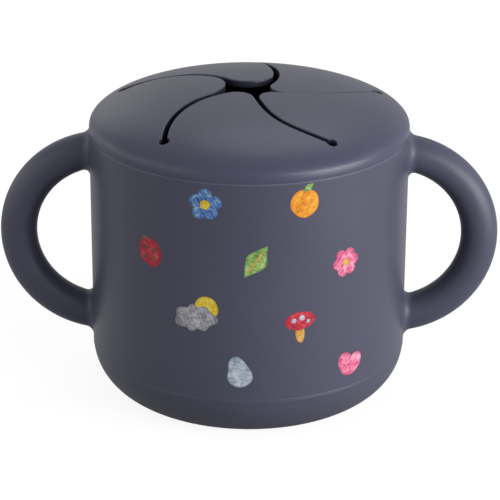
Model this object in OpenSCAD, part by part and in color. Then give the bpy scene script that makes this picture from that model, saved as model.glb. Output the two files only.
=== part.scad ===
// Toddler snack container: a soft cup with two loop handles and a domed lid.
// The lid is cut by five curved slits into flaps that let a small hand in and keep the snack inside.
// Origin at the centre of the base, +Z up, front towards -Y, handles along X.

/* [Cup] */
// Outer diameter of the cup wall
cup_d = 83; // [70:1:100]
// Height from the table to the seam between cup and lid
seam_h = 72; // [68:1:100]
// Thickness of the cup wall
cup_wall = 2.6; // [2.2:0.1:4]
// Thickness of the cup floor
floor_t = 3; // [2:0.5:6]
// Radius of the rounded edge round the base
base_round = 13; // [8:0.5:20]
// Height of the fine moulding line above the table
parting_h = 12.6; // [6:0.2:30]
// How far the moulding line stands out of the wall
parting_rise = 0.08; // [0.05:0.01:0.2]

/* [Neck] */
// Thickness of the neck that the lid closes over
neck_t = 1.6; // [1.3:0.1:2.2]
// How far the thicker rim reaches down inside the cup
rim_depth = 7; // [5:0.5:12]
// Height of the cone that leads from the wall to the thicker rim
rim_taper = 4; // [2:0.5:8]
// Gap between the lid and the neck, all round
lid_gap = 0.2; // [0.1:0.05:0.4]
// Size of the broken outer edge at the top of the cup wall
seam_break = 0.35; // [0.2:0.05:0.8]

/* [Handles] */
// Diameter of the round handle bar
bar_d = 9.6; // [7:0.2:12]
// Radius of the loop, to the middle of the bar
loop_r = 23; // [18:0.5:25]
// How far the centre of the loop lies inside the cup wall
loop_sink = 3.7; // [2:0.1:8]
// Distance from the seam down to the top of the bar
bar_drop = 2; // [1:0.2:6]
// Radius of the fillet where a handle leaves the wall
root_fillet = 2; // [1:0.25:3]

/* [Lid] */
// Rise of the dome above the seam
lid_rise = 10.3; // [8:0.1:16]
// Height of the straight lower edge of the lid
lid_edge_h = 0.8; // [0.6:0.1:3]
// Thickness of the lid
lid_t = 1.6; // [1.2:0.1:2.4]
// Wall of the plug flange that stands inside the neck
plug_t = 1.1; // [0.8:0.1:1.8]
// How far the plug flange reaches below the seam
plug_depth = 5; // [3:0.5:10]

/* [Flaps] */
// Number of slits, and of flaps
flap_n = 5; // [5]
// Distance from the plug flange to the edge of a relief hole
hole_inset = 0.3; // [0.2:0.1:4]
// Diameter of a relief hole
hole_d = 2.6; // [2:0.1:3.4]
// Width of a slit
slit_w = 1; // [0.6:0.1:1.6]
// How far a slit turns, in degrees, from its relief hole to the middle
slit_turn = 36; // [20:1:40]
// Radius of the open star in the middle, to the tips of the flaps
star_r = 4.4; // [3.4:0.1:8]
// How far the line on which a flap bends lies outside the line between its two holes
bend_lead = 0.8; // [0.6:0.05:0.9]
// Gap round the rolled root on which a flap bends
bend_gap = 0.2; // [0.1:0.05:0.4]

/* [Hidden] */
$fn = 96;
eps = 0.01;

silicone = "#55576a";
silicone_lid = "#62636f";

cup_r = cup_d / 2;
cup_in_r = cup_r - cup_wall;
base_in_round = base_round - cup_wall;

// Outer dome is half an ellipse on a short straight edge, and the inner one is the same, one thickness in
dome_z0 = seam_h + lid_edge_h;
dome_b = lid_rise - lid_edge_h;
lid_in_r = cup_r - lid_t;
dome_in_b = dome_b - lid_t;
dome_step = 5;

neck_r = lid_in_r - lid_gap;
neck_in_r = neck_r - neck_t;
plug_r = neck_in_r - lid_gap;
plug_in_r = plug_r - plug_t;

// A flap bends about a straight line that crosses its two relief holes near their outer side
flap_step = 360 / flap_n;
first_hole = -90 - flap_step / 2;
hole_r = hole_d / 2;
hole_ring_r = plug_in_r - hole_inset - hole_r;
bend_r = hole_ring_r * cos(flap_step / 2) + bend_lead;
bend_half = hole_ring_r * sin(flap_step / 2);
root_start = hole_r + 0.6;
root_end = hole_r + 2.6;
root_far_r = norm([bend_r, bend_half - root_start]);
bend_top = dome_height(bend_r, cup_r, dome_b);
bend_low = dome_height(root_far_r, lid_in_r, dome_in_b);
bend_z = (bend_top + bend_low) / 2;
roll_r = (bend_top - bend_low) / 2 + 0.05;

// Round tip of a flap, which touches both slits
tip_far = (star_r - slit_w / 2) / (1 - sin(flap_step / 2));
tip_r = tip_far - star_r;
slit_in_r = tip_far * cos(flap_step / 2);
slit_out_r = hole_ring_r - hole_r - 0.3;
slit_pieces = 12;

// Handle loop, seen from the front
loop_x = cup_r - loop_sink;
loop_h = seam_h - bar_drop - loop_r - bar_d / 2;
root_h = sqrt(pow(loop_r, 2) - pow(loop_sink, 2));

// Height of a dome of half width a and rise b, at a distance r from the middle
function dome_height(r, a, b) = dome_z0 + b * sqrt(1 - pow(r / a, 2));

// Points of a dome's outline, from its edge up to the angle at which its radius is r_end
function dome_arc(a, b, r_end) =
    let (last = acos(r_end / a), n = max(2, round(last / dome_step)))
    [for (k = [0:n]) [a * cos(last * k / n), dome_z0 + b * sin(last * k / n)]];

function polar(r, t) = [r * cos(t), r * sin(t)];

// A point on one side of a slit: side is 1 for its left edge seen from the hole, and -1 for the other
function slit_point(r, side) =
    let (per_mm = slit_turn / (hole_ring_r - star_r),
         lean = sqrt(1 + pow(r * per_mm * PI / 180, 2)),
         open = slit_w / 2 * lean / r * 180 / PI)
    polar(r, -per_mm * (hole_ring_r - r) + side * open);

function turned(p, t) = [p.x * cos(t) - p.y * sin(t), p.x * sin(t) + p.y * cos(t)];

// Cup outline, rounded at the foot, from the axis out
module round_foot(r, low, high, fillet) {
    translate([0, low + fillet]) square([r, high - low - fillet]);
    translate([0, low]) square([r - fillet, fillet + eps]);
    intersection() {
        translate([r - fillet, low + fillet]) circle(r = fillet);
        translate([r - fillet, low]) square([fillet, fillet + eps]);
    }
}

module cup_profile() {
    rim_low = seam_h - rim_depth;
    neck_arc = dome_arc(neck_r, dome_in_b - lid_gap, neck_in_r);
    difference() {
        union() {
            difference() {
                round_foot(cup_r, 0, seam_h, base_round);
                translate([cup_r, seam_h]) rotate(45) square(seam_break * sqrt(2), center = true);
            }
            polygon(concat([[neck_in_r, seam_h - 1], [neck_r, seam_h - 1]], neck_arc));
            translate([cup_r - 1, parting_h]) square([1 + parting_rise, 0.5]);
        }
        round_foot(cup_in_r, floor_t, rim_low - rim_taper, base_in_round);
        polygon([[0, rim_low - rim_taper - eps], [cup_in_r, rim_low - rim_taper - eps],
            [cup_in_r, rim_low - rim_taper], [neck_in_r, rim_low],
            [neck_in_r, seam_h + lid_rise], [0, seam_h + lid_rise]]);
    }
}

module cup_body() {
    color(silicone) rotate_extrude() cup_profile();
}

// Fillet round one root of a handle, a ring on an axis along X that ends at the wall
module root_flare() {
    rotate([0, 90, 0]) rotate_extrude() difference() {
        translate([0, -1]) square([bar_d / 2 + root_fillet, 1 + root_fillet]);
        translate([bar_d / 2 + root_fillet, root_fillet]) circle(r = root_fillet);
    }
}

module handle(side) {
    difference() {
        union() {
            translate([side * loop_x, 0, loop_h]) rotate([90, 0, 0])
                rotate_extrude(angle = 200, start = side > 0 ? -100 : 80)
                    translate([loop_r, 0]) circle(r = bar_d / 2);
            for (v = [-1, 1])
                translate([side * (cup_r - 0.3), 0, loop_h + v * root_h])
                    mirror([side > 0 ? 0 : 1, 0, 0]) root_flare();
        }
        rotate_extrude() round_foot(cup_r, 0, seam_h + lid_rise, base_round);
    }
}

module left_handle() {
    color(silicone) handle(-1);
}

module right_handle() {
    color(silicone) handle(1);
}

// Half section of the dome alone, with a rounded lower edge
module dome_profile() {
    under = [for (t = [-90:30:-30])
        [cup_r - lid_edge_h / 2 + lid_edge_h / 2 * cos(t), dome_z0 + lid_edge_h * sin(t)]];
    outer = dome_arc(cup_r, dome_b, 0);
    inner = dome_arc(lid_in_r, dome_in_b, 0);
    polygon(concat([[lid_in_r, seam_h]], under, outer, [for (k = [len(inner) - 1:-1:0]) inner[k]]));
}

module plug_profile() {
    plug_top = dome_arc(lid_in_r + 0.3, dome_in_b + 0.3, plug_in_r);
    top_z = plug_top[len(plug_top) - 1].y;
    low = seam_h - plug_depth;
    polygon([[plug_in_r, low], [plug_r - 0.3, low], [plug_r, low + 0.6],
        [plug_r, dome_height(plug_r, lid_in_r + 0.3, dome_in_b + 0.3)], [plug_in_r, top_z]]);
}

// Place of one flap: hole k is its first, and the next hole anticlockwise is its second
module at_flap(k) {
    rotate(first_hole + flap_step * k) children();
}

// Line on which a flap bends, as a bar of radius r that starts and stops short of its holes
module bend_bar(r, start, stop) {
    rotate(flap_step / 2) translate([bend_r, -bend_half + start, bend_z]) rotate([-90, 0, 0])
        cylinder(h = 2 * bend_half - start - stop, r = r);
}

module lid_ring() {
    color(silicone_lid) difference() {
        union() {
            rotate_extrude() dome_profile();
            rotate_extrude() plug_profile();
        }
        translate([0, 0, bend_low - roll_r]) rotate(first_hole)
            cylinder(h = lid_rise * 2, r = bend_r / cos(flap_step / 2), $fn = flap_n);
        for (k = [0:flap_n - 1]) at_flap(k) {
            bend_bar(roll_r + bend_gap, hole_r / 2, hole_r / 2);
            translate([hole_ring_r, 0, seam_h]) cylinder(h = lid_rise * 2, r = hole_r);
        }
    }
}

// Outline of a flap seen from above, with its first relief hole on the X axis
module flap_outline() {
    reach = [for (k = [0:slit_pieces]) slit_out_r + (slit_in_r - slit_out_r) * k / slit_pieces];
    near = [for (r = reach) slit_point(r, 1)];
    far = [for (k = [slit_pieces:-1:0]) turned(slit_point(reach[k], -1), flap_step)];
    root = [for (y = [bend_half - root_end, -bend_half + root_start]) turned([bend_r, y], flap_step / 2)];
    middle = slit_point(slit_in_r, 0);
    lead = atan2(middle.y, middle.x) + flap_step / 2;
    polygon(concat(near, far, root));
    translate(polar(tip_far, lead)) circle(r = tip_r);
}

module flap(k) {
    at_flap(k) difference() {
        union() {
            intersection() {
                rotate_extrude() dome_profile();
                translate([0, 0, seam_h]) linear_extrude(lid_rise * 2) flap_outline();
            }
            intersection() {
                bend_bar(roll_r, root_start, root_end);
                rotate_extrude() polygon(concat([[0, seam_h]], dome_arc(cup_r, dome_b, 0)));
            }
        }
        for (t = [0, flap_step]) rotate(t)
            translate([hole_ring_r, 0, seam_h]) cylinder(h = lid_rise * 2, r = hole_r);
    }
}

module lid_flap_1() { color(silicone_lid) flap(0); }
module lid_flap_2() { color(silicone_lid) flap(1); }
module lid_flap_3() { color(silicone_lid) flap(2); }
module lid_flap_4() { color(silicone_lid) flap(3); }
module lid_flap_5() { color(silicone_lid) flap(4); }

cup_body();
left_handle();
right_handle();
lid_ring();
lid_flap_1();
lid_flap_2();
lid_flap_3();
lid_flap_4();
lid_flap_5();
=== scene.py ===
from math import acos, asin, atan2, cos, degrees, exp, hypot, pi, radians, sin, sqrt

import bpy
from bpy.props import FloatProperty, FloatVectorProperty, IntProperty, PointerProperty
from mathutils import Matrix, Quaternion, Vector


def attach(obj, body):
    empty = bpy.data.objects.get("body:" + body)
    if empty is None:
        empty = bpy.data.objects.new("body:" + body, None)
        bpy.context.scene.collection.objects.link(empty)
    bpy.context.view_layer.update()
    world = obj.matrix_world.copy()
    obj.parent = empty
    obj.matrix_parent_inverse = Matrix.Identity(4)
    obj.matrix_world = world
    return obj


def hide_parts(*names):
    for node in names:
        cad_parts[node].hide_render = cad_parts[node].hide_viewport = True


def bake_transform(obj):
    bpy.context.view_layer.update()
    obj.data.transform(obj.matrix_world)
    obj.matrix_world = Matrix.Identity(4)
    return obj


bl_info = {
    "name": "Toddler Snack Cup",
    "version": (1, 0, 0),
    "blender": (4, 5, 0),
    "location": "3D View > Sidebar > Snack Cup",
    "description": "Builds a soft two-handled snack cup with a slotted lid round its packed frame",
    "category": "Add Mesh",
}

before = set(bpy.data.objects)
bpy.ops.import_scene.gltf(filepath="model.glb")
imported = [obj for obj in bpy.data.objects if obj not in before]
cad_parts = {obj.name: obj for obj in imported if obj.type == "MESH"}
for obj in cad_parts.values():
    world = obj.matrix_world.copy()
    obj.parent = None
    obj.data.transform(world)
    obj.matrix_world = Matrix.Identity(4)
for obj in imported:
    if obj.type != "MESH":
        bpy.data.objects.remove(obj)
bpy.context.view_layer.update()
MM = 0.001

# The lid's flaps, anticlockwise seen from above, starting with the one in front
FLAPS = 5
STEP = 2 * pi / FLAPS
FIRST_HOLE = -pi / 2 - STEP / 2


# Sizes and colours


def length(name, description, default):
    return FloatProperty(name=name, description=description, default=default * MM, unit="LENGTH")


def lengths_of_five(name, description, *defaults):
    """One length for each slit or flap, given in mm."""
    return FloatVectorProperty(
        name=name, description=description, size=FLAPS, unit="LENGTH", default=[d * MM for d in defaults])


def angles_of_five(name, description, *defaults):
    """One angle for each slit, given in degrees."""
    return FloatVectorProperty(
        name=name, description=description, size=FLAPS, unit="ROTATION",
        default=[radians(d) for d in defaults])


def power(name, description, default):
    return FloatProperty(name=name, description=description, default=default, min=0, unit="POWER")


def colour(name, description, default):
    return FloatVectorProperty(
        name=name, description=description, default=srgb(default)[:3], subtype="COLOR", size=3, min=0, max=1)


def srgb(hex_colour):
    """A hex sRGB colour as linear RGBA."""
    parts = [int(hex_colour[k:k + 2], 16) / 255 for k in (1, 3, 5)]
    return [p / 12.92 if p <= 0.04045 else ((p + 0.055) / 1.055) ** 2.4 for p in parts] + [1.0]


class SnackCupBody(bpy.types.PropertyGroup):
    radius: length("Wall radius", "Outer radius of the cup wall", 41.5)
    seam: length("Seam height", "Height of the seam between cup and lid", 71.4)
    wall: length("Wall", "Thickness of the cup wall", 2.6)
    floor: length("Floor", "Thickness of the cup floor", 3)
    base_round: length("Base rounding", "Radius of the rounded edge round the base", 13)
    line_height: length("Moulding line", "Height of the fine moulding line", 12.2)
    line_rise: length("Line rise", "How far the moulding line stands out", 0.06)
    edge_break: length("Seam edge", "Rounding of the wall's top edge", 0.1)
    neck_radius: length("Neck radius", "Outer radius of the neck inside the lid", 39.7)
    neck_wall: length("Neck wall", "Thickness of the neck", 1.6)
    steps: IntProperty(name="Steps", description="Steps round the cup", default=256, min=64)


class SnackCupHandles(bpy.types.PropertyGroup):
    bar: length("Bar radius", "Radius of the round bar", 4.8)
    loop: length("Loop radius", "Radius of the loop, to the middle of the bar", 23)
    centre_x: length("Loop centre", "Distance of the loop's centre from the cup's axis", 37.79)
    centre_z: length("Loop height", "Height of the loop's centre", 42.2)
    fillet: length("Root fillet", "Radius of the fillet at the wall", 2.0)


class SnackCupLid(bpy.types.PropertyGroup):
    rise: length("Dome rise", "Rise of the dome above its lower edge", 9.5)
    edge: length("Lower edge", "Height of the skirt below the dome", 1.4)
    thickness: length("Thickness", "Thickness of the lid and its flaps", 1.9)
    lip: length("Lip rounding", "Rounding of the cut edges", 0.3)
    skirt_break: length("Skirt edge", "Rounding of the skirt's lower edge", 0.06)
    hole_ring: length("Hole circle", "Radius of the circle the relief holes stand on", 35.2)
    hole: length("Hole radius", "Radius of a relief hole", 1.3)
    slit_turn: FloatProperty(
        name="Slit turn", description="Turn of a slit over its whole length",
        default=radians(36), unit="ROTATION")
    star: length("Star radius", "Radius at which the slits end in the open star", 4.4)
    slit_widths: lengths_of_five(
        "Slit widths", "Width of each slit, from the front left one on", 1.3, 1.3, 0.2, 1.6, 0.5)
    slit_mouths: lengths_of_five(
        "Slit mouths", "Width of each slit where it leaves its hole", 1.0, 1.0, 0.8, 1.0, 2.4)
    slit_fades: lengths_of_five(
        "Slit fades", "How far in from the hole each slit's mouth narrows", 6, 6, 6, 6, 13)
    slit_ends: angles_of_five("Slit ends", "How far each slit's inner end turns back", -3, 17, 2, -14, -4)
    slit_bows: angles_of_five("Slit bows", "How far the middle of each slit turns on", 0, 0, 0, 0, -7)
    tips: lengths_of_five(
        "Tip radii", "Radius of each flap's round tip, from the front one on", 4.6, 3.6, 4.6, 6.6, 9.2)
    sags: lengths_of_five(
        "Flap sags", "How far each flap's tip hangs below the dome", 0.4, 0.35, 0.4, 0, 0)
    bows: lengths_of_five(
        "Flap bows", "How far the middle of each flap bows up above the dome", 0, 0, 0, 0.2, 0)


class SnackCupColours(bpy.types.PropertyGroup):
    cup: colour("Cup", "Silicone of the cup and handles", "#4c4d60")
    lid: colour("Lid", "Silicone of the lid", "#4a4b62")


class SnackCupStudio(bpy.types.PropertyGroup):
    key: power("Key", "Wide softbox at the right", 1.46)
    low_key: power("Low key", "Long strip light at the right, just above the floor", 4.7)
    side: power("Right side", "Lamp that draws the right edge of the wall and the handle", 0.25)
    edge: power("Left side", "Lamp that draws the left edge of the wall and the handle", 0.22)
    fill: power("Fill", "Wide soft light from the left", 2.1)
    back: power("Back", "Lamp behind, at the left", 0.12)
    top: power("Top", "Lamp above and behind, which reaches over the lid", 0.46)
    room: FloatProperty(name="Room", description="Even light of the room on the object", default=0.24, min=0)


# Modelling helpers


def deselect_all():
    if bpy.context.object and bpy.context.object.mode != "OBJECT":
        bpy.ops.object.mode_set(mode="OBJECT")
    bpy.ops.object.select_all(action="DESELECT")


def named(name):
    piece = bpy.context.object
    piece.name = piece.data.name = name
    return piece


def arc(x, z, r, start, stop, steps):
    """Points on an arc in a section, angles in degrees."""
    return [(x + r * cos(radians(start + (stop - start) * k / steps)),
             z + r * sin(radians(start + (stop - start) * k / steps))) for k in range(steps + 1)]


def turned_piece(name, profile, steps):
    """A section drawn vertex by vertex in the XZ plane and spun once round Z."""
    deselect_all()
    bpy.ops.mesh.primitive_plane_add(size=MM, enter_editmode=True)
    bpy.ops.mesh.merge(type="CENTER")
    bpy.ops.transform.translate(value=(profile[0][0], 0, profile[0][1]))
    for (x0, z0), (x1, z1) in zip(profile, profile[1:]):
        if hypot(x1 - x0, z1 - z0) > 1e-7:
            bpy.ops.mesh.extrude_vertices_move(TRANSFORM_OT_translate={"value": (x1 - x0, 0, z1 - z0)})
    bpy.ops.mesh.select_all(action="SELECT")
    bpy.ops.mesh.spin(steps=steps, angle=2 * pi, center=(0, 0, 0), axis=(0, 0, 1))
    bpy.ops.mesh.select_all(action="SELECT")
    close_up()
    bpy.ops.object.mode_set(mode="OBJECT")
    return named(name)


def close_up(weld=2e-6):
    """Welds what is selected in edit mode, drops faces without area and turns all faces outwards."""
    bpy.ops.mesh.remove_doubles(threshold=weld)
    bpy.ops.mesh.dissolve_degenerate(threshold=1e-7)
    bpy.ops.mesh.select_all(action="SELECT")
    bpy.ops.mesh.normals_make_consistent(inside=False)


def shaped_grid(name, columns, rows, place):
    """A grid of columns by rows faces, with each corner put where place(column, row) says."""
    deselect_all()
    bpy.ops.mesh.primitive_grid_add(x_subdivisions=columns, y_subdivisions=rows, size=1)
    piece = named(name)
    corners = [c for j in range(rows + 1) for i in range(columns + 1) for c in place(i, j)]
    piece.data.vertices.foreach_set("co", corners)
    piece.data.update()
    return piece


def paint(piece, attribute, values):
    """One value per corner, which a material reads by the attribute's name."""
    layer = piece.data.attributes.new(attribute, "FLOAT", "POINT")
    layer.data.foreach_set("value", values)
    return piece


def joined(name, pieces):
    """The pieces as one, with the edges that they share welded."""
    deselect_all()
    for piece in pieces:
        piece.select_set(True)
    bpy.context.view_layer.objects.active = pieces[0]
    bpy.ops.object.join()
    bpy.ops.object.mode_set(mode="EDIT")
    bpy.ops.mesh.select_all(action="SELECT")
    close_up()
    bpy.ops.object.mode_set(mode="OBJECT")
    return named(name)


def smooth(piece, angle=35):
    deselect_all()
    piece.select_set(True)
    bpy.context.view_layer.objects.active = piece
    bpy.ops.object.shade_smooth_by_angle(angle=radians(angle))


def finish_piece(piece, material, slot, *nodes):
    piece.data.materials.clear()
    piece.data.materials.append(material)
    if nodes:
        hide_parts(*nodes)


# Materials


def add(tree, kind, settings=None, values=None, links=None):
    """A node with its settings, its socket values and its incoming links."""
    node = tree.nodes.new("ShaderNode" + kind)
    for name, value in (settings or {}).items():
        setattr(node, name, value)
    for name, value in (values or {}).items():
        node.inputs[name].default_value = value
    for name, source in (links or {}).items():
        tree.links.new(source, node.inputs[name])
    return node


def ramp(tree, source, stops):
    """A colour ramp on source, with stops as pairs of position and RGBA."""
    node = add(tree, "ValToRGB", links={"Fac": source})
    band = node.color_ramp
    while len(band.elements) < len(stops):
        band.elements.new(0.5)
    for element, (position, shade) in zip(band.elements, stops):
        element.position, element.color = position, shade
    return node.outputs["Color"]


def grey(level):
    return (level, level, level, 1)


def silicone(name, base, roughness, rim=None):
    """Platinum silicone from a bead-blasted mould, matte with a fine grain.

    rim is the height of the wall's top edge at the seam, along which a pale line of painted highlight is
    drawn, where it has one.
    """
    if name in bpy.data.materials:
        return bpy.data.materials[name]
    material = bpy.data.materials.new(name)
    material.use_nodes = True
    tree = material.node_tree
    shader = tree.nodes["Principled BSDF"]
    where = add(tree, "TexCoord").outputs["Object"]
    # Clouds some 25 mm across, of the pigment and of the bloom on its skin
    cloud = add(tree, "TexNoise", values={"Scale": 40, "Detail": 3, "Roughness": 0.5},
                links={"Vector": where})
    tint = ramp(tree, cloud.outputs["Fac"], [(0.3, grey(0.955)), (0.7, grey(1.045))])
    # Blasted grain is about 0.1 mm on the mould, drawn at 0.45 mm so that it shows
    grain = add(tree, "TexNoise", values={"Scale": 2200, "Detail": 2, "Roughness": 0.6},
                links={"Vector": where})
    speck = ramp(tree, grain.outputs["Fac"], [(0.35, grey(0.975)), (0.65, grey(1.025))])
    times = {"data_type": "RGBA", "blend_type": "MULTIPLY"}
    both = add(tree, "Mix", times, {0: 1.0}, {6: tint, 7: speck})
    shade = add(tree, "Mix", times, {0: 1.0, 6: (*base, 1)}, {7: both.outputs[2]})
    # Painted shade: where the "cut" attribute marks the cut walls of the slits and holes, the silicone is
    # drawn darker, as the shade inside them
    cut = add(tree, "Attribute", {"attribute_name": "cut"})
    slit_shade = add(tree, "MapRange", values={"To Min": 1.0, "To Max": 0.4}, links={"Value": cut.outputs["Fac"]})
    skin = add(tree, "Mix", times, {0: 1.0}, {6: shade.outputs[2], 7: slit_shade.outputs["Result"]}).outputs[2]
    if rim:
        # Painted highlight: along its top edge at the seam the moulding is drawn paler over 0.3 mm, as light
        # catching on the edge, more in some places than in others
        height = add(tree, "SeparateXYZ", links={"Vector": where}).outputs["Z"]
        below = add(tree, "Math", {"operation": "SUBTRACT"}, {0: rim}, {1: height}).outputs[0]
        line = add(tree, "MapRange", values={"From Min": 0.4 * MM, "From Max": 0.28 * MM},
                   links={"Value": below})
        wall = add(tree, "Math", {"operation": "GREATER_THAN"}, {1: -0.05 * MM}, {0: below})
        patchy_highlight = add(tree, "MapRange", {}, {"From Min": 0.3, "From Max": 0.6, "To Min": 0.2, "To Max": 0.34},
                     {"Value": cloud.outputs["Fac"]})
        share = add(tree, "Math", {"operation": "MULTIPLY"},
                    links={0: line.outputs["Result"], 1: wall.outputs[0]})
        share = add(tree, "Math", {"operation": "MULTIPLY"},
                    links={0: share.outputs[0], 1: patchy_highlight.outputs["Result"]})
        skin = add(tree, "Mix", {"data_type": "RGBA"}, {7: srgb("#8f90a0")},
                   {0: share.outputs[0], 6: skin}).outputs[2]
    tree.links.new(skin, shader.inputs["Base Color"])
    rough = add(tree, "MapRange", values={"To Min": roughness - 0.03, "To Max": roughness + 0.03},
                links={"Value": cloud.outputs["Fac"]})
    tree.links.new(rough.outputs["Result"], shader.inputs["Roughness"])
    bump = add(tree, "Bump", values={"Strength": 0.12, "Distance": 0.05 * MM},
               links={"Height": grain.outputs["Fac"]})
    tree.links.new(bump.outputs["Normal"], shader.inputs["Normal"])
    shader.inputs["IOR"].default_value = 1.41
    shader.inputs["Specular IOR Level"].default_value = 0.6
    return material


def printed_ink(name, main, pale, dark, stroke_angle=0.6):
    """Screen-printed ink that imitates a watercolour wash with pencil strokes on top, darker at its rim."""
    if name in bpy.data.materials:
        return bpy.data.materials[name]
    material = bpy.data.materials.new(name)
    material.use_nodes = True
    tree = material.node_tree
    shader = tree.nodes["Principled BSDF"]
    where = add(tree, "TexCoord").outputs["Object"]
    # Wash: pools of pigment about 1.5 mm across
    wash = add(tree, "TexNoise", values={"Scale": 620, "Detail": 4, "Roughness": 0.62, "Distortion": 0.6},
               links={"Vector": where})
    body = ramp(tree, wash.outputs["Fac"], [(0.34, srgb(dark)), (0.5, srgb(main)), (0.68, srgb(pale))])
    # Pencil strokes about 0.5 mm apart
    turned = add(tree, "Mapping", values={"Rotation": (0, stroke_angle, 0)}, links={"Vector": where})
    lines = add(tree, "TexWave", {"bands_direction": "X"},
                {"Scale": 340, "Distortion": 5, "Detail": 3, "Detail Scale": 2.5, "Detail Roughness": 0.7},
                {"Vector": turned.outputs["Vector"]})
    strokes = ramp(tree, lines.outputs["Fac"], [(0.0, grey(0.0)), (0.75, grey(0.0)), (0.97, grey(0.42))])
    drawn = add(tree, "Mix", {"data_type": "RGBA"}, {7: srgb(pale)}, {0: strokes, 6: body})
    # The wash dries darker along its rim
    rim = add(tree, "Attribute", {"attribute_name": "rim"})
    edge = add(tree, "MapRange", {"interpolation_type": "SMOOTHSTEP"},
               {"From Min": 0.78, "From Max": 1.0, "To Max": 0.5}, {"Value": rim.outputs["Fac"]})
    edged = add(tree, "Mix", {"data_type": "RGBA"}, {7: srgb(dark)},
                {0: edge.outputs["Result"], 6: drawn.outputs[2]})
    tree.links.new(edged.outputs[2], shader.inputs["Base Color"])
    bump = add(tree, "Bump", values={"Strength": 0.1, "Distance": 0.03 * MM},
               links={"Height": lines.outputs["Fac"]})
    tree.links.new(bump.outputs["Normal"], shader.inputs["Normal"])
    shader.inputs["Roughness"].default_value = 0.5
    shader.inputs["IOR"].default_value = 1.45
    return material


# Cup and handles


class SNACKCUP_OT_body(bpy.types.Operator):
    """Cup moulding: wall, rounded base, moulding line, neck and inside"""

    bl_idname = "snackcup.body"
    bl_label = "Cup Body"

    def execute(self, context):
        s = context.scene.snack_cup_body
        lid = context.scene.snack_cup_lid
        r, top, low = s.radius, s.seam, s.line_height
        dome = s.seam + lid.edge
        neck_in = s.neck_radius - s.neck_wall
        rim_depth, taper = 7 * MM, 4 * MM
        inner = r - s.wall
        inner_round = s.base_round - s.wall
        # The line is a double one: two crests, as shares of its rise, at heights in mm above its foot
        crests = ((1.3, 0), (0.95, 0), (0.9, 0), (0.78, 1), (0.6, 0.35), (0.42, 0.35), (0.26, 1), (0.1, 0))
        line = [(r + s.line_rise * share, low + up * MM) for up, share in crests]
        outer = [(0, 0), (12 * MM, 0), (22 * MM, 0)]
        outer += arc(r - s.base_round, s.base_round, s.base_round, -90, -8, 28)
        outer = [p for p in outer if p[1] < low - 0.1 * MM] + line[::-1]
        outer += [(r, low + (top - low) * k / 14) for k in range(1, 14)]
        outer += [(r, top - s.edge_break - 0.2 * MM)]
        outer += arc(r - s.edge_break, top - s.edge_break, s.edge_break, 0, 90, 6)
        # The neck's top follows the inside of the dome
        a, b = s.neck_radius, lid.rise - 1.8 * MM
        last = degrees(acos(neck_in / a))
        neck = [(s.neck_radius + 0.25 * MM, top), (s.neck_radius, top + 0.25 * MM)]
        neck += [(a * cos(radians(t)), dome + b * sin(radians(t))) for t in (0, last / 3, last / 2, last)]
        inside = [(neck_in, neck[-1][1] - 0.6 * MM), (neck_in, top - rim_depth),
                  (inner, top - rim_depth - taper), (inner, top / 2)]
        inside += arc(inner - inner_round, s.floor + inner_round, inner_round, 0, -90, 14)
        inside += [(14 * MM, s.floor), (0, s.floor)]
        cup = turned_piece("cup", outer + neck + inside, s.steps)
        smooth(cup, 30)
        colour_of_cup = context.scene.snack_cup_colours.cup
        # The cup's top edge at the seam gets a pale line of painted highlight
        finish_piece(cup, silicone("slate silicone of the cup body", colour_of_cup, 0.37, top),
                     "cup_silicone", "cup_body")
        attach(cup, "cup")
        return {"FINISHED"}


def handle_point(s, wall, side, loop_angle, bar_angle, out=0.0, gap=None):
    """A point on the bar, out proud of it, with its distance from the wall set to gap where that is given."""
    reach = s.loop + (s.bar + out) * cos(bar_angle)
    x = s.centre_x + reach * cos(loop_angle)
    y = (s.bar + out) * sin(bar_angle)
    if gap is not None:
        x = sqrt(max((wall + gap) ** 2 - y * y, 0))
    return (side * x, y, s.centre_z + reach * sin(loop_angle))


def loop_angle_at(s, wall, bar_angle, gap):
    """The loop angle at which a line along the bar is gap away from the wall."""
    near, far = 0.0, radians(112)
    for _ in range(40):
        middle = (near + far) / 2
        x, y, _z = handle_point(s, wall, 1, middle, bar_angle)
        near, far = (middle, far) if hypot(x, y) - wall > gap else (near, middle)
    return near


class SNACKCUP_OT_handles(bpy.types.Operator):
    """Two loop handles whose roots run out on the cup wall in a small fillet"""

    bl_idname = "snackcup.handles"
    bl_label = "Handles"

    def execute(self, context):
        s = context.scene.snack_cup_handles
        wall = context.scene.snack_cup_body.radius
        sides, turn, flare = 64, 96, 9
        sunk = 0.8 * MM
        for side, name in ((-1, "left_handle"), (1, "right_handle")):

            def place(i, j, side=side):
                t = 2 * pi * i / sides
                end = 1 if j > (turn + 2 * flare + 2) / 2 else -1
                k = min(j, turn + 2 * flare + 2 - j)
                if k == 0:
                    root = loop_angle_at(s, wall, t, 0)
                    return handle_point(s, wall, side, end * root, t, s.fillet, -sunk)
                if k <= flare:
                    q = pi / 2 * (flare + 1 - k) / flare
                    gap = s.fillet * (1 - sin(q))
                    root = loop_angle_at(s, wall, t, gap)
                    return handle_point(s, wall, side, end * root, t, s.fillet * (1 - cos(q)), gap)
                root = loop_angle_at(s, wall, t, s.fillet)
                return handle_point(s, wall, side, root * (2 * (j - flare - 1) / turn - 1), t)

            tube = shaped_grid(name + "_loop", sides, turn + 2 * flare + 2, place)
            handle = joined(name + "_loop", [tube])
            bpy.ops.object.mode_set(mode="EDIT")
            bpy.ops.mesh.select_all(action="SELECT")
            bpy.ops.mesh.fill_holes(sides=0)
            bpy.ops.mesh.normals_make_consistent(inside=False)
            bpy.ops.object.mode_set(mode="OBJECT")
            smooth(handle, 50)
            colour_of_cup = context.scene.snack_cup_colours.cup
            finish_piece(handle, silicone("slate silicone of the handles", colour_of_cup, 0.44),
                         "cup_silicone", name)
            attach(handle, "cup")
        return {"FINISHED"}


# Lid


def polar(r, t):
    return (r * cos(t), r * sin(t))


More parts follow.
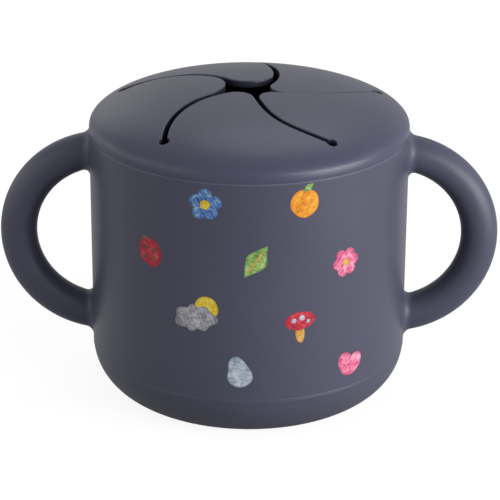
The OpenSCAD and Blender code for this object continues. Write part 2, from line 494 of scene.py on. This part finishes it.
class LidShape:
    """The places that the lid's ring and its flaps share, so that they meet without a seam that shows."""

    def __init__(self, scene):
        s = scene.snack_cup_lid
        body = scene.snack_cup_body
        self.s = s
        self.radius = body.radius
        self.base = body.seam + s.edge
        self.ring = s.hole_ring
        # Profile of a cut edge, as pairs of distance from the cut and depth below the top
        turn = 5
        down = [(s.lip * (1 - cos(pi / 2 * k / turn)), s.lip * (1 - sin(pi / 2 * k / turn)))
                for k in range(turn, -1, -1)]
        self.lip = down + [(x, s.thickness - d) for x, d in down[::-1]]
        self.collar = s.hole + s.lip + 0.2 * MM
        # Angles from a hole to the next one along the hole circle, at which both pieces have corners
        seam = 44
        near, first = self.step_angle(s.hole + s.lip), self.step_angle(self.collar)
        between = [first + (STEP - 2 * first) * k / (seam - 2) for k in range(seam - 1)]
        self.seam = [near] + between + [STEP - near]

    def slit_shade_share(self, depth):
        """Share of painted shade on a cut edge: 1 on its flat, and 0 where its rounding meets the upper or
        lower face.
        """
        return min(1.0, max(0.0, min(depth, self.s.thickness - depth) / self.s.lip)) ** 2

    def step_angle(self, chord):
        return 2 * asin(chord / (2 * self.ring))

    def on_dome(self, x, y, depth=0.0, lift=0.0):
        """The point of the dome over x, y, or one that is depth below it, square to the surface."""
        r = hypot(x, y)
        up = sqrt(max(1 - (r / self.radius) ** 2, 0))
        n = Vector((x / self.radius ** 2, y / self.radius ** 2, up / self.s.rise)).normalized()
        p = Vector((x, y, self.base + self.s.rise * up)) - n * depth
        return (p.x, p.y, p.z + lift)

    def hole(self, k):
        return FIRST_HOLE + STEP * k

    def round_hole(self, k, distance, share):
        """A point round the outer side of hole k, at a distance from its middle; share runs from -1 to 1."""
        limit = acos(-distance / (2 * self.ring))
        t = self.hole(k) + limit * share
        cx, cy = polar(self.ring, self.hole(k))
        return (cx + distance * cos(t), cy + distance * sin(t))

    def slit_middle(self, k, r):
        """A slit winds in evenly from its hole, and each one's last stretch turns a little on its own."""
        inner_end, stretch = 5 * MM, 21 * MM
        end = max(0.0, 1 - (r - inner_end) / stretch)
        along = (self.ring - r) / (self.ring - self.s.star)
        bow = self.s.slit_bows[k % FLAPS] * sin(pi * min(max(along, 0), 1))
        own = self.s.slit_ends[k % FLAPS] * end * end + bow
        return polar(r, self.hole(k) - self.s.slit_turn * along + own)

    def slit_side(self, k, r, aside):
        """A point aside from the middle of slit k, to the anticlockwise side where aside is positive."""
        x0, y0 = self.slit_middle(k, r + 0.01 * MM)
        x1, y1 = self.slit_middle(k, r - 0.01 * MM)
        run = hypot(x1 - x0, y1 - y0)
        x, y = self.slit_middle(k, r)
        return (x + aside * (y1 - y0) / run, y - aside * (x1 - x0) / run)

    def half_width(self, k, r):
        """Half the width of a slit, which is never quite closed next to its hole and next to the star."""
        w = self.s.slit_widths[k % FLAPS] / 2
        mouth = self.s.slit_mouths[k % FLAPS] / 2
        at_hole = max(0.0, 1 - (self.ring - r) / self.s.slit_fades[k % FLAPS])
        star_fade, star_mouth = 5 * MM, 0.8 * MM
        at_star = max(0.0, 1 - (r - self.s.star) / star_fade)
        return max(w, mouth * at_hole * at_hole, star_mouth * at_star * at_star)

    def tip_centre(self, k):
        """Middle of the round tip of flap k, and the radii at which it touches its two slits."""
        tip = self.s.tips[k]

        def other_side(r):
            return self.slit_side(k + 1, r, -(self.half_width(k + 1, r) + tip))

        def miss(r):
            x, y = self.slit_side(k, r, self.half_width(k, r) + tip)
            low, high = 1 * MM, 40 * MM
            for _ in range(50):
                middle = (low + high) / 2
                low, high = (middle, high) if hypot(*other_side(middle)) < hypot(x, y) else (low, middle)
            ox, oy = other_side(low)
            gap = (atan2(oy, ox) - atan2(y, x) + pi) % (2 * pi) - pi
            return gap, (x, y), low

        low, high = 3.5 * MM, 20 * MM
        for _ in range(50):
            middle = (low + high) / 2
            low, high = (middle, high) if miss(middle)[0] < 0 else (low, middle)
        _gap, centre, far = miss(high)
        return centre, high, far

    def outline(self, k):
        """The cut edge of flap k from hole to hole, as dense points of its left side, tip and right side."""
        s = self.s
        centre, near_r, far_r = self.tip_centre(k)

        def hole_side(n, sign):
            """From the hole circle round the inner side of hole n to where its slit begins."""
            cx, cy = polar(self.ring, self.hole(n))
            out = self.hole(n)
            r = self.ring
            x, y = self.slit_side(n, r, sign * self.half_width(n, r))
            while hypot(x - cx, y - cy) < s.hole:
                r -= 0.02 * MM
                x, y = self.slit_side(n, r, sign * self.half_width(n, r))
            stop = (atan2(y - cy, x - cx) - out) % (2 * pi)
            start = acos(-s.hole / (2 * self.ring))
            if sign < 0:
                stop, start = stop - 2 * pi, -start
            steps = 24
            curve = [(cx + s.hole * cos(out + start + (stop - start) * i / steps),
                      cy + s.hole * sin(out + start + (stop - start) * i / steps)) for i in range(steps + 1)]
            return curve, r

        left, left_r = hole_side(k, 1)
        right, right_r = hole_side(k + 1, -1)
        count = 160
        for i in range(1, count + 1):
            r = left_r + (near_r - left_r) * i / count
            left.append(self.slit_side(k, r, self.half_width(k, r)))
            r = right_r + (far_r - right_r) * i / count
            right.append(self.slit_side(k + 1, r, -self.half_width(k + 1, r)))
        start = atan2(left[-1][1] - centre[1], left[-1][0] - centre[0])
        stop = atan2(right[-1][1] - centre[1], right[-1][0] - centre[0])
        sweep = (start - stop) % (2 * pi)
        round_off = s.tips[k]
        turns = [start - sweep * i / 60 for i in range(1, 60)]
        tip = [(centre[0] + round_off * cos(t), centre[1] + round_off * sin(t)) for t in turns]
        return even_out(left, 0.1 * MM), tip, even_out(right[::-1], 0.1 * MM)


def lengths(points):
    total = [0.0]
    for (x0, y0), (x1, y1) in zip(points, points[1:]):
        total.append(total[-1] + hypot(x1 - x0, y1 - y0))
    return total


def sampled(points, total, at):
    """The points of a polyline at the given lengths along it."""
    found, i = [], 0
    for want in at:
        while i < len(points) - 2 and total[i + 1] < want:
            i += 1
        span = total[i + 1] - total[i]
        f = min(max((want - total[i]) / span, 0), 1) if span else 0
        found.append((points[i][0] + (points[i + 1][0] - points[i][0]) * f,
                      points[i][1] + (points[i + 1][1] - points[i][1]) * f))
    return found


def even_out(points, step):
    total = lengths(points)
    count = max(2, round(total[-1] / step))
    return sampled(points, total, [total[-1] * i / count for i in range(count + 1)])


def eased(points, reach, step=0.1 * MM):
    """Evenly spaced points with their corners rounded over about reach; the ends stay as they are."""
    count = int(3 * reach / step)
    weights = [exp(-0.5 * (i * step / reach) ** 2) for i in range(-count, count + 1)]
    result = []
    for n, p in enumerate(points):
        room = min(n, len(points) - 1 - n, count)
        part = weights[count - room:count + room + 1]
        near = points[n - room:n + room + 1]
        total = sum(part)
        result.append((sum(w * q[0] for w, q in zip(part, near)) / total,
                       sum(w * q[1] for w, q in zip(part, near)) / total))
    return result


class SNACKCUP_OT_lid_ring(bpy.types.Operator):
    """Outer part of the lid: dome edge, skirt, plug flange and the outer half of each relief hole"""

    bl_idname = "snackcup.lid_ring"
    bl_label = "Lid Ring"

    def execute(self, context):
        shape = LidShape(context.scene)
        s = shape.s
        parts = []
        around = 20
        # Half of the arc of the lid's edge that a hole's mesh spreads out to
        spread = radians(7)

        # Round the outer half of each hole: collar, lip, wall of the cut, lip and collar again
        section = [(s.hole + x, d) for x, d in shape.lip]
        section = [(shape.collar, 0.0)] + section + [(shape.collar, s.thickness)]
        for k in range(FLAPS):
            def place(i, j, k=k):
                distance, depth = section[j]
                return shape.on_dome(*shape.round_hole(k, distance, 2 * i / around - 1), depth)
            hole = shaped_grid("hole", around, len(section) - 1, place)
            # Painted shade: the cut walls of the hole are marked in the "cut" attribute, which the silicone
            # draws darker
            slit_shades = [shape.slit_shade_share(d) for _x, d in section for _i in range(around + 1)]
            parts.append(paint(hole, "cut", slit_shades))

            # Hidden face on which the ring and a flap meet
            parts.append(seam_face(shape, k))

        # Stations round the inner edge of the rest of the ring
        stations = []
        for k in range(FLAPS):
            for i in range(around):
                share = 2 * i / around - 1
                x, y = shape.round_hole(k, shape.collar, share)
                rim = shape.hole(k) + share * spread
                off = (atan2(y, x) - shape.hole(k) + pi) % (2 * pi) - pi
                stations.append((hypot(x, y), shape.hole(k) + off, rim))
            middle = shape.seam[1:-1]
            for i in range(len(middle) - 1):
                rim = shape.hole(k) + spread + (STEP - 2 * spread) * i / (len(middle) - 1)
                stations.append((shape.ring, shape.hole(k) + middle[i], rim))
        stations.append((stations[0][0], stations[0][1] + 2 * pi, stations[0][2] + 2 * pi))

        top_rows = 26
        under_rows = 10
        r, z, e = shape.radius, shape.base, s.edge
        skirt, plug_depth = 1.6 * MM, 5 * MM
        skirt_in, plug_out, plug_in = r - skirt, 37.9 * MM, 36.8 * MM
        low = z - e - plug_depth
        inner_rise = s.rise - skirt

        def ceiling(x):
            return z + inner_rise * sqrt(max(1 - (x / skirt_in) ** 2, 0))

        # The dome ends in a skirt that leans in by a few degrees, and so catches the low light
        edge = [(r - 0.07 * MM, z + 0.4 * MM), (r - 0.01 * MM, z), (r + 0.03 * MM, z - 0.35 * MM)]
        edge += arc(r + 0.06 * MM - s.skirt_break, z - e + s.skirt_break, s.skirt_break, 0, -90, 4)
        edge += [(skirt_in + 0.2 * MM, z - e), (skirt_in, z - e + 0.2 * MM), (skirt_in, z)]
        edge += [(skirt_in * cos(radians(t)), z + inner_rise * sin(radians(t))) for t in (5, 10, 14)]
        edge += [(plug_out, ceiling(plug_out)), (plug_out, low + 0.8 * MM),
                 (plug_out - 0.1 * MM, low + 0.4 * MM), (plug_out - 0.35 * MM, low),
                 (plug_in + 0.2 * MM, low), (plug_in, low + 0.2 * MM),
                 (plug_in, ceiling(plug_in) - 0.9 * MM), (plug_in, ceiling(plug_in) - 0.45 * MM)]
        rows = top_rows + len(edge) + under_rows

        def place(i, j):
            inner, angle, rim = stations[i]
            if j <= top_rows:
                f = (j / top_rows) ** 1.7
                turn = acos(min(inner / r, 1)) * (1 - f) + radians(5) * f
                t = angle + (rim - angle) * min(1, f * 1.6)
                return shape.on_dome(*polar(r * cos(turn), t))
            if j <= top_rows + len(edge):
                x, height = edge[j - top_rows - 1]
                return (*polar(x, rim), height)
            f = 1 - (rows - j) / under_rows
            back = 37.25 * MM
            return shape.on_dome(*polar(back + (inner - back) * f, rim + (angle - rim) * f), s.thickness)

        parts.append(shaped_grid("ring", len(stations) - 1, rows, place))
        ring = joined("lid_rim", parts)
        smooth(ring, 40)
        finish_piece(ring, silicone("slate silicone of the lid", context.scene.snack_cup_colours.lid, 0.36),
                     "lid_silicone", "lid_ring")
        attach(ring, "lid")
        return {"FINISHED"}


def seam_line(shape, k):
    """The line on which the ring meets flap k: an angle with the depths of its upper and lower end."""
    s = shape.s
    count = len(shape.lip) // 2
    start = [(shape.step_angle(s.hole + x), d) for x, d in shape.lip[count - 1::-1]]
    line = [(t, d) for t, d in start if d > 1e-9] + [(t, 0.0) for t in shape.seam]
    line += [(STEP - t, d) for t, d in start[::-1] if d > 1e-9]
    return [(shape.hole(k) + t, d, s.thickness - d) for t, d in line]


def seam_face(shape, k):
    line = seam_line(shape, k)

    def place(i, j):
        angle, high, low = line[i]
        return shape.on_dome(*polar(shape.ring, angle), low if j else high)
    return shaped_grid("seam", len(line) - 1, 1, place)


class SNACKCUP_OT_flaps(bpy.types.Operator):
    """Five flaps between the curved slits, each with a round tip and soft cut edges"""

    bl_idname = "snackcup.flaps"
    bl_label = "Lid Flaps"

    def execute(self, context):
        shape = LidShape(context.scene)
        s = shape.s
        for k in range(FLAPS):
            self.flap(context, shape, s, k)
        return {"FINISHED"}

    def flap(self, context, shape, s, k):
        side, across = 76, len(shape.seam) - 1
        left, tip, right = shape.outline(k)
        whole = eased(even_out(left + tip + right, 0.1 * MM), 0.28 * MM)
        total = lengths(whole)
        uneased = lengths(left + tip + right)[-1]
        left_end = total[-1] * lengths(left)[-1] / uneased
        right_start = total[-1] - total[-1] * lengths(right)[-1] / uneased
        graded = [(i / side) ** 1.6 for i in range(side + 1)]
        at = [left_end * g for g in graded]
        at += [left_end + (right_start - left_end) * i / across for i in range(1, across)]
        at += [total[-1] - (total[-1] - right_start) * g for g in graded[::-1]]
        cut = sampled(whole, total, at)
        ends = []
        for n in range(len(cut)):
            x0, y0 = cut[max(n - 1, 0)]
            x1, y1 = cut[min(n + 1, len(cut) - 1)]
            run = hypot(x1 - x0, y1 - y0)
            ends.append((-(y1 - y0) / run, (x1 - x0) / run))

        def inside(n, distance):
            """Corner n of the cut edge, moved into the flap by a distance."""
            if n in (0, len(cut) - 1):
                angle = shape.step_angle(s.hole + distance)
                return polar(shape.ring, shape.hole(k) + (angle if n == 0 else STEP - angle))
            return (cut[n][0] - ends[n][0] * distance, cut[n][1] - ends[n][1] * distance)

        middle = shape.hole(k) + STEP / 2
        chord = shape.ring * cos(STEP / 2)
        reach = chord - s.star

        def raised(point, depth):
            """The flaps don't all lie quite on the dome: some sag towards the tip, and some bow up."""
            inwards = (chord - (point[0] * cos(middle) + point[1] * sin(middle))) / reach
            f = min(max(inwards, 0), 1)
            return shape.on_dome(*point, depth, s.bows[k] * sin(pi * f) ** 2 - s.sags[k] * f ** 1.5)

        inner = [inside(n, s.lip) for n in range(len(cut))]
        a = [polar(shape.ring, shape.hole(k) + t) for t in shape.seam]
        left_side = inner[:side + 1]
        tip_side = inner[side:side + across + 1]
        right_side = inner[:side + across - 1:-1]

        def patch(i, j):
            u, v = i / across, graded[j]
            point = []
            for c in (0, 1):
                point.append((1 - v) * a[i][c] + v * tip_side[i][c]
                             + (1 - u) * left_side[j][c] + u * right_side[j][c]
                             - (1 - u) * (1 - v) * a[0][c] - u * (1 - v) * a[-1][c]
                             - (1 - u) * v * tip_side[0][c] - u * v * tip_side[-1][c])
            return point

        lip = shaped_grid("lip", len(cut) - 1, len(shape.lip) - 1,
                          lambda i, j: raised(inside(i, shape.lip[j][0]), shape.lip[j][1]))
        # Painted shade: the cut walls of the flap are marked in the "cut" attribute, which the silicone draws
        # darker
        paint(lip, "cut", [shape.slit_shade_share(d) for _x, d in shape.lip for _i in range(len(cut))])
        parts = [lip, seam_face(shape, k),
                 shaped_grid("top", across, side, lambda i, j: raised(patch(i, j), 0.0)),
                 shaped_grid("under", across, side, lambda i, j: raised(patch(i, j), s.thickness))]
        flap = joined("flap_%d" % (k + 1), parts)
        smooth(flap, 40)
        finish_piece(flap, silicone("slate silicone of the lid", context.scene.snack_cup_colours.lid, 0.36),
                     "lid_silicone", "lid_flap_%d" % (k + 1))
        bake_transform(flap)


# Printed motifs


def petals(count, depth):
    return lambda t: 1 - depth + depth * abs(cos(count * t / 2)) ** 0.7


def leaf(t):
    """A pointed oval along Y."""
    x, y = cos(t), sin(t)
    return 1 / (abs(x) / 0.46 + abs(y) ** 1.6) ** 0.85 if abs(x) + abs(y) else 1


def drop(t):
    up = max(sin(t), 0)
    return 0.72 + 0.5 * up ** 6


def heart(t):
    x = abs(cos(t))
    return 0.62 + 0.42 * x ** 1.2 - 0.3 * max(sin(t), 0) ** 5 + 0.42 * max(-sin(t), 0) ** 3


def oval(wide, tall):
    return lambda t: wide * tall / hypot(tall * cos(t), wide * sin(t))


def cloud(t):
    return oval(1.0, 0.6)(t) * (1 + 0.1 * cos(7 * t + 0.6))


# Each ink's main, pale and dark colour, and the angle of its pencil strokes
INKS = {
    "blue": ("#4f7fc0", "#a9cbe8", "#2a4c8f", 0.6),
    "orange": ("#f29a1f", "#f9c052", "#e07b10", 2.2),
    "red": ("#c7263c", "#e4606c", "#8f1830", 0.9),
    "gold": ("#d9a441", "#f0d083", "#a8702a", 0.2),
    "green": ("#86b25a", "#c2dc92", "#4e7f3a", 1.1),
    "pink": ("#e2618f", "#f7b9cb", "#bf3a68", 2.5),
    "grey": ("#a5a3ae", "#dcd9dd", "#77767f", 0.3),
    "yellow": ("#f2d22e", "#fbe97c", "#d9a912", 0.0),
    "pale": ("#b6c1cf", "#e6ebee", "#8493ab", 1.4),
    "brown": ("#6a4a35", "#94705a", "#43301f", 0.5),
}

# Each motif's place on the wall in mm, and its washes: ink, outline, size in mm, place in the motif in mm,
# turn and layer
MOTIFS = {
    "flower": ((-10.4, 65.6), [
        ("blue", petals(5, 0.34), 4.3, (0, 0), 0.3, 0),
        ("yellow", oval(1, 1), 1.25, (0, 0), 0, 1)]),
    "orange": ((14.4, 66.2), [
        ("orange", oval(1, 1), 3.7, (0, -0.4), 0, 0),
        ("green", leaf, 1.7, (0.9, 3.6), -0.9, 1)]),
    "ladybird": ((-25.8, 50.3), [
        ("brown", oval(1, 0.8), 1.8, (-1.5, 2.8), 0.5, 0),
        ("red", oval(0.92, 1.0), 3.8, (0, 0), 0.5, 1),
        ("brown", oval(1, 1), 0.6, (-1.3, 1.1), 0, 2),
        ("brown", oval(1, 1), 0.65, (1.4, 0.8), 0, 2),
        ("brown", oval(1, 1), 0.6, (-1.1, -1.3), 0, 2),
        ("brown", oval(1, 1), 0.55, (1.4, -1.4), 0, 2)]),
    "leaf": ((2.3, 51.1), [
        ("green", leaf, 5.2, (0, 0), -0.6, 0),
        ("gold", oval(0.07, 1), 4.2, (0, 0), -0.6, 1)]),
    "blossom": ((26.4, 48.0), [
        ("pink", petals(6, 0.26), 3.9, (0, 0), 0.1, 0),
        ("gold", oval(1, 1), 1.0, (0, 0), 0, 1)]),
    "cloud": ((-12.8, 35.6), [
        ("yellow", oval(1, 1), 3.1, (2.6, 2.4), 0, 0),
        ("grey", cloud, 5.6, (-0.3, -0.6), 0.08, 1)]),
    "mushroom": ((13.6, 33.0), [
        ("gold", oval(0.42, 1), 2.9, (0, -1.8), 0.1, 0),
        ("red", oval(1, 0.62), 4.0, (0, 1.4), 0.1, 1),
        ("pale", oval(1, 1), 0.62, (-1.6, 1.6), 0, 2),
        ("pale", oval(1, 1), 0.75, (0.5, 2.2), 0, 2),
        ("pale", oval(1, 1), 0.5, (2.2, 1.1), 0, 2)]),
    "drop": ((-1.6, 20.0), [("pale", drop, 4.4, (0, 0), 0.25, 0)]),
    "heart": ((28.5, 20.3), [("pink", heart, 3.7, (0, 0), -0.2, 0)]),
}


class SNACKCUP_OT_prints(bpy.types.Operator):
    """Small garden motifs printed on the front of the cup"""

    bl_idname = "snackcup.prints"
    bl_label = "Prints"

    def execute(self, context):
        wall = context.scene.snack_cup_body.radius
        for name, (place, washes) in MOTIFS.items():
            for number, wash in enumerate(washes):
                self.print_wash("%s_print_%d" % (name, number + 1), wall, place, wash)
        return {"FINISHED"}

    def print_wash(self, name, wall, place, wash):
        ink, outline, size, offset, turn, layer = wash
        around, rings = 56, 6 if size > 1 else 3
        proud = (0.02 + 0.016 * layer) * MM

        def corner(i, j):
            t = 2 * pi * i / around
            # The drawn outline wavers a little, as a brush does
            waver = 1 + 0.018 * sin(3 * t + 5 * size) + 0.012 * sin(5 * t + size)
            r = size * outline(t) * waver * j / rings
            x = place[0] + offset[0] + r * cos(t + turn)
            y = place[1] + offset[1] + r * sin(t + turn)
            a = x * MM / wall
            return ((wall + proud) * sin(a), -(wall + proud) * cos(a), y * MM)

        piece = shaped_grid(name, around, rings, corner)
        paint(piece, "rim", [j / rings for j in range(rings + 1) for _i in range(around + 1)])
        piece = joined(name, [piece])
        face = piece.data.polygons[0]
        if face.normal.y > 0:
            bpy.ops.object.mode_set(mode="EDIT")
            bpy.ops.mesh.select_all(action="SELECT")
            bpy.ops.mesh.flip_normals()
            bpy.ops.object.mode_set(mode="OBJECT")
        film = piece.modifiers.new("Film", "SOLIDIFY")
        film.thickness, film.offset = 0.06 * MM + proud, -1
        bpy.ops.object.modifier_apply(modifier=film.name)
        smooth(piece, 40)
        colours = INKS[ink]
        finish_piece(piece, printed_ink(ink + " ink", *colours), "printed_ink")
        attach(piece, "cup")


# Stage


def lamp(name, azimuth, elevation, power, size, size_y=None):
    """A softbox 0.75 m from the cup; azimuth in degrees from the front, positive to the right."""
    target = Vector((0, 0, 0.045))
    a, e = radians(azimuth), radians(elevation)
    place = target + 0.75 * Vector((cos(e) * sin(a), -cos(e) * cos(a), sin(e)))
    deselect_all()
    bpy.ops.object.light_add(type="AREA", location=place)
    softbox = bpy.context.object
    softbox.name = softbox.data.name = name
    softbox.data.energy = power
    softbox.data.shape = "RECTANGLE" if size_y else "DISK"
    softbox.data.size = size
    if size_y:
        softbox.data.size_y = size_y
    softbox.rotation_mode = "QUATERNION"
    softbox.rotation_quaternion = (target - place).to_track_quat("-Z", "Y")
    return softbox


class SNACKCUP_OT_stage(bpy.types.Operator):
    """White floor, soft studio lamps and the camera"""

    bl_idname = "snackcup.stage"
    bl_label = "Stage"

    def execute(self, context):
        scene = context.scene
        light = scene.snack_cup_studio
        scene.view_settings.view_transform = "Standard"

        deselect_all()
        bpy.ops.mesh.primitive_plane_add(size=6)
        floor = named("studio_floor")
        floor.data.materials.append(self.paper())

        world = bpy.data.worlds.new("white room")
        scene.world = world
        world.use_nodes = True
        tree = world.node_tree
        room = add(tree, "MapRange", values={"To Min": light.room}, links={"Value": self.seen_directly(tree)})
        tree.nodes["Background"].inputs["Color"].default_value = (1, 1, 1, 1)
        tree.links.new(room.outputs["Result"], tree.nodes["Background"].inputs["Strength"])

        lamp("key", 46, 24, light.key, 0.55, 0.3)
        lamp("low key", 62, 6, light.low_key, 0.6, 0.32)
        lamp("right side", 98, 24, light.side, 0.3)
        lamp("left side", -115, 12, light.edge, 0.35)
        lamp("fill", -70, 6, light.fill, 1.1)
        lamp("back", -155, 22, light.back, 0.3)
        lamp("top", 172, 55, light.top, 0.4)

        bpy.ops.object.camera_add()
        camera = bpy.context.object
        camera.name = camera.data.name = "camera"
        elevation, yaw, distance = radians(22.67), radians(0.65), 0.588
        target = Vector((0, 0, 0.037))
        aside, ahead = cos(elevation) * sin(yaw), cos(elevation) * cos(yaw)
        place = target + distance * Vector((aside, -ahead, sin(elevation)))
        camera.location = place
        camera.rotation_mode = "QUATERNION"
        roll = Quaternion((0, 0, 1), radians(0.30))
        camera.rotation_quaternion = (target - place).to_track_quat("-Z", "Y") @ roll
        camera.data.sensor_width = 36
        camera.data.lens = 159.6
        camera.data.shift_x = 0.0025
        camera.data.clip_start = 0.05
        scene.camera = camera
        return {"FINISHED"}

    def seen_directly(self, tree):
        """1 for what the camera or a refraction sees, 0.5 for a reflection, 0 for light on the object."""
        path = add(tree, "LightPath").outputs
        # The sides and the front of the room, which the cup reflects, are dimmer than the backdrop
        glossy = add(tree, "Math", {"operation": "MULTIPLY_ADD"}, {1: 0.5},
                     {0: path["Is Glossy Ray"], 2: path["Is Camera Ray"]})
        return add(tree, "Math", {"operation": "ADD", "use_clamp": True},
                   links={0: glossy.outputs[0], 1: path["Is Transmission Ray"]}).outputs[0]

    def paper(self):
        """White paper sweep: a faint tooth, and white to the camera except where the object shades it."""
        material = bpy.data.materials.new("white paper sweep")
        material.use_nodes = True
        tree = material.node_tree
        shader = tree.nodes["Principled BSDF"]
        where = add(tree, "TexCoord").outputs["Object"]
        tooth = add(tree, "TexNoise", values={"Scale": 900, "Detail": 2}, links={"Vector": where})
        tone = ramp(tree, tooth.outputs["Fac"], [(0.3, grey(0.24)), (0.7, grey(0.26))])
        tree.links.new(tone, shader.inputs["Base Color"])
        shader.inputs["Roughness"].default_value = 0.9
        shader.inputs["Specular IOR Level"].default_value = 0.1
        # In a reflection the paper is dim close under the cup, where the cup keeps the light off it
        path = add(tree, "LightPath").outputs
        open_sky = add(tree, "AmbientOcclusion", {"samples": 8}, {"Distance": 0.045}).outputs["AO"]
        shaded = add(tree, "Mix", {"data_type": "FLOAT"}, {2: 1.0}, {0: path["Is Glossy Ray"], 3: open_sky})
        glow = add(tree, "MapRange", values={"To Max": 0.89}, links={"Value": self.seen_directly(tree)})
        strength = add(tree, "Math", {"operation": "MULTIPLY"},
                       links={0: glow.outputs["Result"], 1: shaded.outputs[0]})
        shader.inputs["Emission Color"].default_value = (1, 1, 1, 1)
        tree.links.new(strength.outputs[0], shader.inputs["Emission Strength"])
        return material


# Panel and run


PIECES = (SNACKCUP_OT_stage, SNACKCUP_OT_body, SNACKCUP_OT_handles, SNACKCUP_OT_lid_ring, SNACKCUP_OT_flaps,
          SNACKCUP_OT_prints)
SETTINGS = {"snack_cup_body": SnackCupBody, "snack_cup_handles": SnackCupHandles,
            "snack_cup_lid": SnackCupLid, "snack_cup_colours": SnackCupColours,
            "snack_cup_studio": SnackCupStudio}


class SNACKCUP_PT_panel(bpy.types.Panel):
    """Sizes, colours and steps of the snack cup"""

    bl_label = "Snack Cup"
    bl_idname = "SNACKCUP_PT_panel"
    bl_space_type = "VIEW_3D"
    bl_region_type = "UI"
    bl_category = "Snack Cup"

    def draw(self, context):
        for name, group in SETTINGS.items():
            box = self.layout.box()
            for field in group.__annotations__:
                box.prop(getattr(context.scene, name), field)
        for piece in PIECES:
            self.layout.operator(piece.bl_idname)


def register():
    for group in SETTINGS.values():
        bpy.utils.register_class(group)
    for name, group in SETTINGS.items():
        setattr(bpy.types.Scene, name, PointerProperty(type=group))
    for piece in PIECES + (SNACKCUP_PT_panel,):
        bpy.utils.register_class(piece)


def unregister():
    for piece in (SNACKCUP_PT_panel,) + PIECES[::-1]:
        bpy.utils.unregister_class(piece)
    for name in SETTINGS:
        delattr(bpy.types.Scene, name)
    for group in SETTINGS.values():
        bpy.utils.unregister_class(group)


def main():
    register()
    bpy.ops.snackcup.stage()
    bpy.ops.snackcup.body()
    bpy.ops.snackcup.handles()
    bpy.ops.snackcup.lid_ring()
    bpy.ops.snackcup.flaps()
    bpy.ops.snackcup.prints()
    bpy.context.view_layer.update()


if __name__ == "__main__":
    main()
